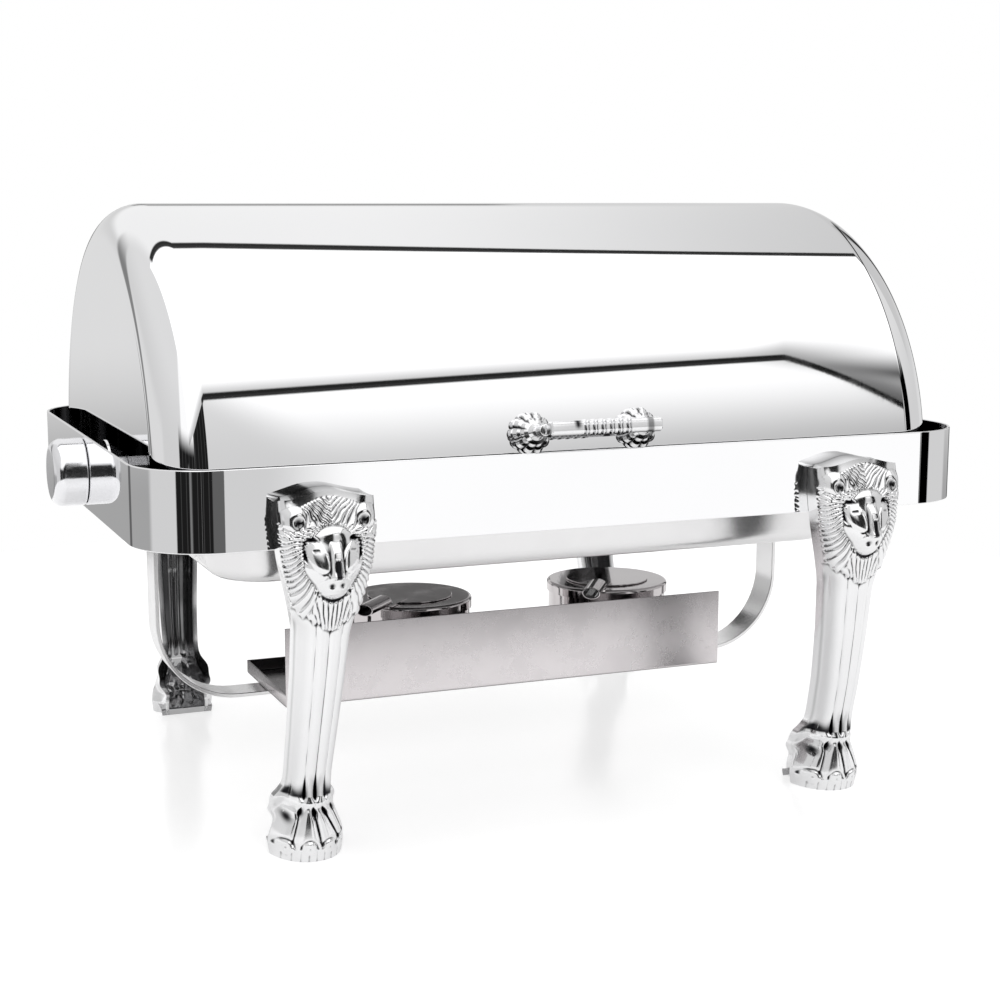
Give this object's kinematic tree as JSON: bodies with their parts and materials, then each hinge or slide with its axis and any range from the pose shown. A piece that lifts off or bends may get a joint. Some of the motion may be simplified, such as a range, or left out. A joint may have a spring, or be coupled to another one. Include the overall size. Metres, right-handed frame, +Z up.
{
  "type": "chafing dish food warmer",
  "caption": "Roll-top chafing dish: half-cylinder lid in a rounded frame band on cast lion legs, with water and food pans over a hanging burner tray.",
  "frame": {"origin": "on the floor under the middle of the object, midway between the four feet", "axes": "+Z up, -Y towards the front where the lid's handle is, +X towards the right-hand end and its knob"},
  "size_m": [0.666, 0.5024, 0.4275],
  "materials": {
    "mirror_steel": "mirror-polished stainless sheet",
    "polished_casting": "polished casting",
    "satin_steel": "satin stainless sheet",
    "plated_steel": "plated steel fasteners"
  },
  "bodies": {
    "stand": {"frame_band": "mirror_steel", "front_left_leg": "polished_casting", "front_right_leg": "polished_casting", "rear_left_leg": "polished_casting", "rear_right_leg": "polished_casting", "front_left_leg_bolt_left": "plated_steel", "front_left_leg_bolt_right": "plated_steel", "front_right_leg_bolt_left": "plated_steel", "front_right_leg_bolt_right": "plated_steel", "rear_left_leg_bolt_left": "plated_steel", "rear_left_leg_bolt_right": "plated_steel", "rear_right_leg_bolt_left": "plated_steel", "rear_right_leg_bolt_right": "plated_steel", "left_pivot_stud": "plated_steel", "right_pivot_stud": "plated_steel", "left_pivot_spacer": "plated_steel", "right_pivot_spacer": "plated_steel", "left_pivot_washer": "plated_steel", "right_pivot_washer": "plated_steel", "left_pivot_nut": "plated_steel", "right_pivot_nut": "plated_steel", "left_end_bracket": "satin_steel", "right_end_bracket": "satin_steel", "hanger_strap": "satin_steel", "burner_tray": "satin_steel", "left_burner_cup": "satin_steel", "right_burner_cup": "satin_steel"},
    "lid": {"roll_top_lid": "mirror_steel", "handle_bar": "polished_casting", "left_handle_post": "polished_casting", "right_handle_post": "polished_casting", "left_handle_screw": "plated_steel", "right_handle_screw": "plated_steel"},
    "left_knob": {"left_knob_cap": "mirror_steel"},
    "right_knob": {"right_knob_cap": "mirror_steel"},
    "water_pan": {"water_pan": "satin_steel"},
    "food_pan": {"food_pan": "satin_steel"},
    "left_cover": {"left_burner_cover": "satin_steel", "left_damper_rivet": "plated_steel"},
    "left_damper": {"left_damper": "satin_steel"},
    "right_cover": {"right_burner_cover": "satin_steel", "right_damper_rivet": "plated_steel"},
    "right_damper": {"right_damper": "satin_steel"}
  },
  "joints": [
    {"name": "lid_roll", "type": "hinge", "parent": "stand", "child": "lid", "pos_m": [0, 0, 0.2365], "axis": [-1, 0, 0], "range_deg": [0, 155]},
    {"name": "left_knob_turn", "type": "hinge", "parent": "stand", "child": "left_knob", "pos_m": [-0.322, 0, 0.2365], "axis": [-1, 0, 0], "range_deg": [0, 180]},
    {"name": "right_knob_turn", "type": "hinge", "parent": "stand", "child": "right_knob", "pos_m": [0.322, 0, 0.2365], "axis": [1, 0, 0], "range_deg": [0, 180]},
    {"name": "water_pan_lift", "type": "slide", "parent": "stand", "child": "water_pan", "axis": [0, 0, 1], "range_m": [0, 0.04]},
    {"name": "food_pan_lift", "type": "slide", "parent": "water_pan", "child": "food_pan", "axis": [0, 0, 1], "range_m": [0, 0.075]},
    {"name": "left_cover_lift", "type": "slide", "parent": "stand", "child": "left_cover", "axis": [0, 0, 1], "range_m": [0, 0.035]},
    {"name": "left_damper_swing", "type": "hinge", "parent": "left_cover", "child": "left_damper", "pos_m": [-0.08928, -0.03725, 0.1275], "axis": [0, 0, 1], "range_deg": [0, 85]},
    {"name": "right_cover_lift", "type": "slide", "parent": "stand", "child": "right_cover", "axis": [0, 0, 1], "range_m": [0, 0.035]},
    {"name": "right_damper_swing", "type": "hinge", "parent": "right_cover", "child": "right_damper", "pos_m": [0.08563, -0.04116, 0.1275], "axis": [0, 0, 1], "range_deg": [0, 85]}
  ]
}
